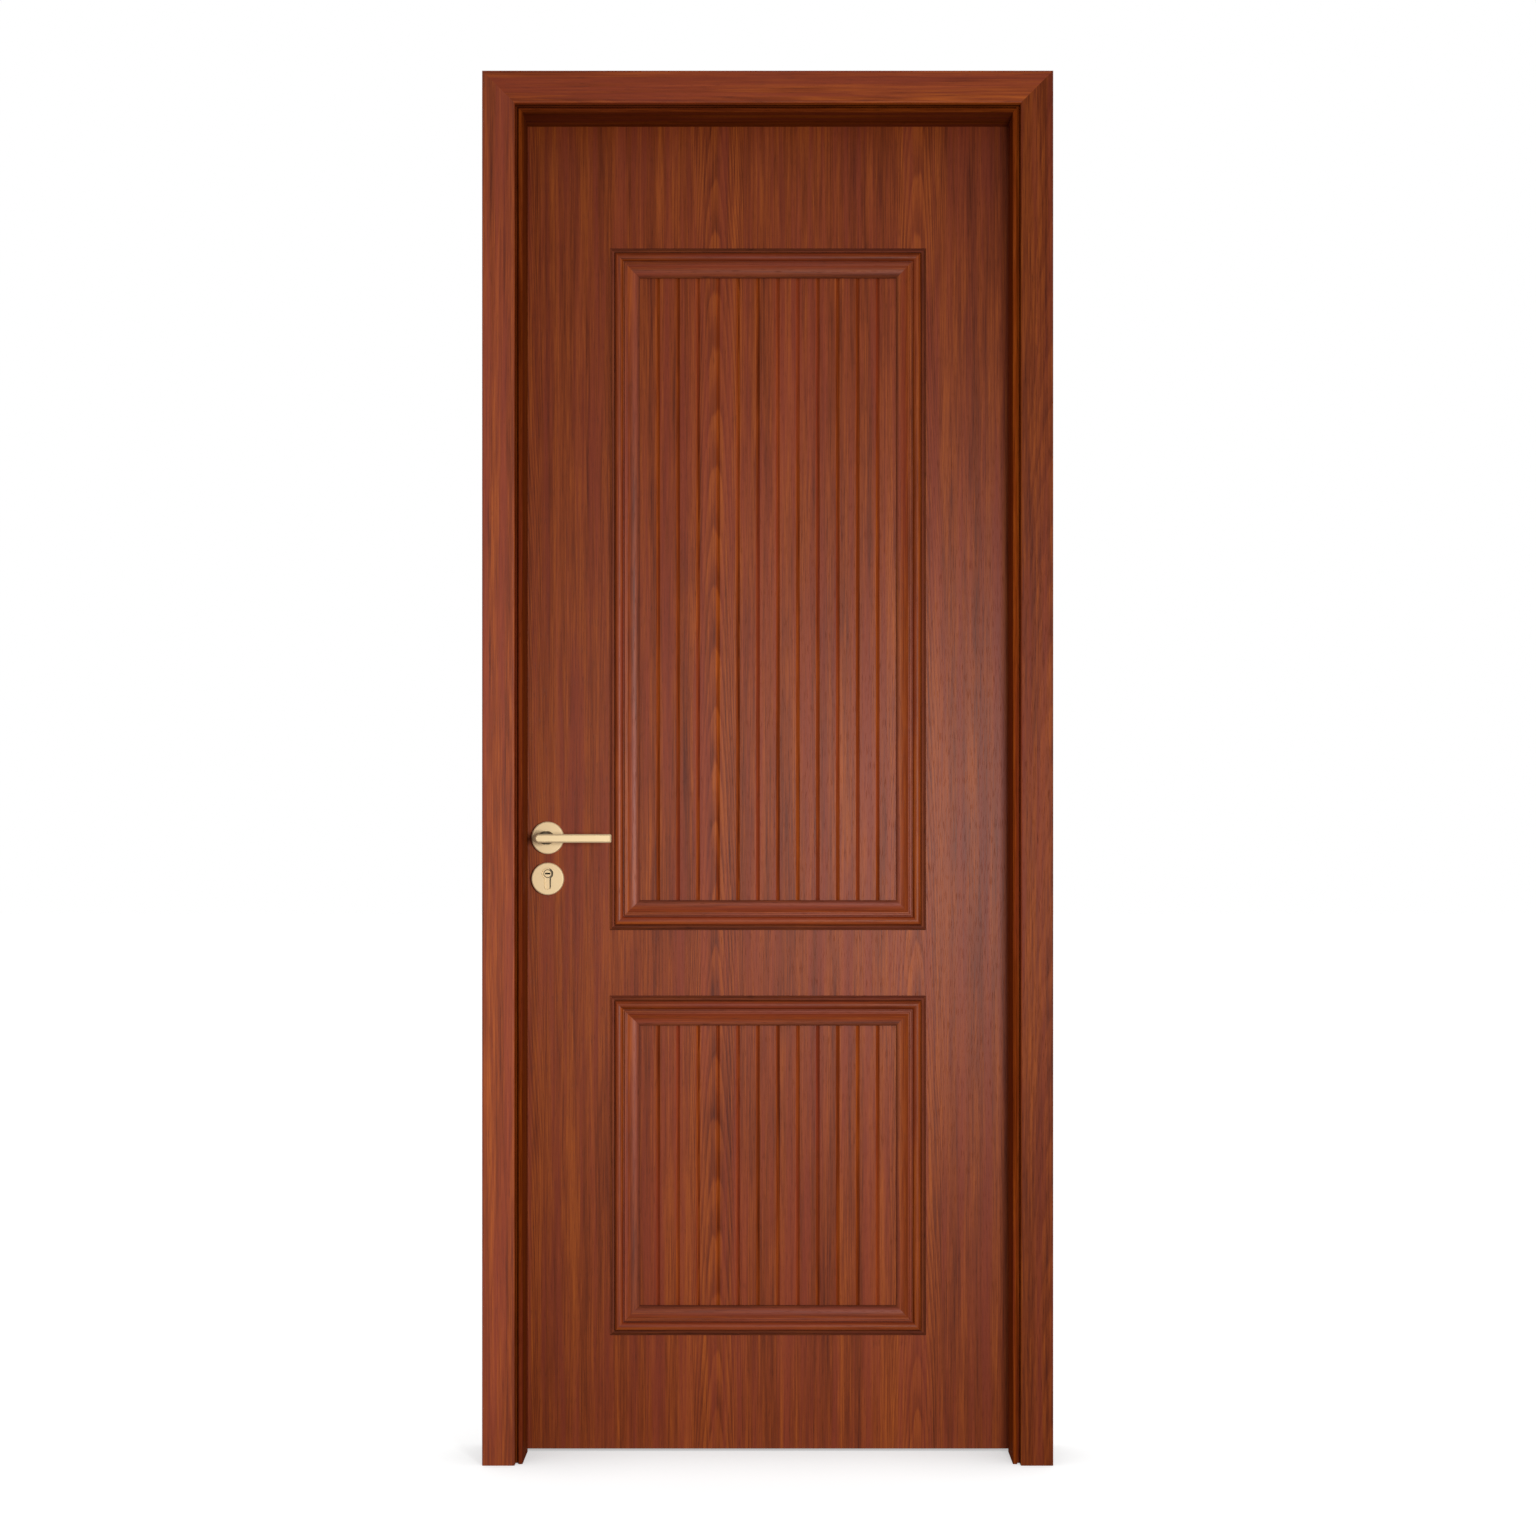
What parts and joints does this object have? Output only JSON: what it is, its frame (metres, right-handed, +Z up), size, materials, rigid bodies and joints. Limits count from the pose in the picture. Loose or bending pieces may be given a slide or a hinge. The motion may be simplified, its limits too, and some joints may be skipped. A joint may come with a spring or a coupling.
{
  "type": "panelled front door with frame",
  "caption": "Wood-grained entrance door leaf with grooved panels in planted mouldings, hung in a rebated lining with casings, with a lever handle and a mortise lock.",
  "frame": {"origin": "on the floor, at mid width, in the plane of the closed leaf's outer face", "axes": "+X to the right seen from outside, towards the hinges; +Y into the building, the way the leaf opens; +Z up"},
  "size_m": [0.86, 0.198, 2.1],
  "materials": {
    "frame_wood": "satin reddish-brown wood-grain film",
    "casing_wood": "satin reddish-brown wood-grain film",
    "leaf_wood": "satin reddish-brown wood-grain film, grain upright",
    "moulding_wood": "satin reddish-brown wood-grain film, grain along each stick",
    "core_wood": "bare softwood core behind the panel fields",
    "edge_wood": "stained and film-lipped leaf edge",
    "seal_rubber": "matt dark brown",
    "satin_brass": "satin pale gold",
    "lock_steel": "zinc plated, dull",
    "screw_steel": "yellow passivated"
  },
  "bodies": {
    "frame": {"lock_jamb": "frame_wood", "hinge_jamb": "frame_wood", "head_jamb": "frame_wood", "front_casing_lock_side": "casing_wood", "front_casing_hinge_side": "casing_wood", "front_casing_head": "casing_wood", "back_casing_lock_side": "casing_wood", "back_casing_hinge_side": "casing_wood", "back_casing_head": "casing_wood", "seal_lock_side": "seal_rubber", "seal_hinge_side": "seal_rubber", "seal_head": "seal_rubber", "strike_plate": "satin_brass", "strike_box": "lock_steel", "strike_screws": "screw_steel", "hinge_frame_flags": "satin_brass", "hinge_pins": "satin_brass", "hinge_frame_screws": "screw_steel"},
    "leaf": {"front_skin": "leaf_wood", "back_skin": "leaf_wood", "lock_stile": "edge_wood", "hinge_stile": "edge_wood", "bottom_rail": "edge_wood", "lower_core": "core_wood", "middle_rail": "edge_wood", "upper_core": "core_wood", "top_rail": "edge_wood", "front_upper_moulding_bottom": "moulding_wood", "front_upper_moulding_top": "moulding_wood", "front_upper_moulding_left": "moulding_wood", "front_upper_moulding_right": "moulding_wood", "front_lower_moulding_bottom": "moulding_wood", "front_lower_moulding_top": "moulding_wood", "front_lower_moulding_left": "moulding_wood", "front_lower_moulding_right": "moulding_wood", "back_upper_moulding": "moulding_wood", "back_lower_moulding": "moulding_wood", "hinge_leaf_flags": "satin_brass", "hinge_leaf_screws": "screw_steel", "lock_case": "lock_steel", "lock_cover": "lock_steel", "lock_faceplate": "satin_brass", "faceplate_screws": "screw_steel", "cylinder_body": "satin_brass", "cylinder_screw": "screw_steel", "front_handle_rose": "satin_brass", "back_handle_rose": "satin_brass", "front_key_escutcheon": "satin_brass", "back_key_escutcheon": "satin_brass", "rose_bolts": "screw_steel"},
    "lever_set": {"front_lever": "satin_brass", "back_lever": "satin_brass", "spindle": "lock_steel", "follower": "lock_steel"},
    "latch": {"latch_bolt": "lock_steel"},
    "key_set": {"key_plug": "satin_brass", "cam": "lock_steel", "thumbturn": "satin_brass"},
    "dead_bolt": {"deadbolt": "lock_steel"}
  },
  "joints": [
    {"name": "leaf_swing", "type": "hinge", "parent": "frame", "child": "leaf", "pos_m": [0.3805, 0.048, 1.03], "axis": [0, 0, -1], "range_deg": [0, 170]},
    {"name": "lever_turn", "type": "hinge", "parent": "leaf", "child": "lever_set", "pos_m": [-0.339, 0.021, 0.945], "axis": [0, 1, 0], "range_deg": [0, 45], "stiffness_Nm_per_rad": 1, "springref_deg": -34.38},
    {"name": "latch_slide", "type": "slide", "parent": "leaf", "child": "latch", "axis": [1, 0, 0], "range_m": [0, 0.012]},
    {"name": "key_turn", "type": "hinge", "parent": "leaf", "child": "key_set", "pos_m": [-0.339, 0.021, 0.89], "axis": [0, -1, 0], "range_deg": [0, 360]},
    {"name": "dead_bolt_slide", "type": "slide", "parent": "leaf", "child": "dead_bolt", "axis": [-1, 0, 0], "range_m": [0, 0.014]}
  ],
  "couplings": [
    {"joint": "latch_slide", "follows": "lever_turn", "m_per_rad": 0.01527},
    {"joint": "dead_bolt_slide", "follows": "key_turn", "m_per_rad": 0.002228}
  ]
}
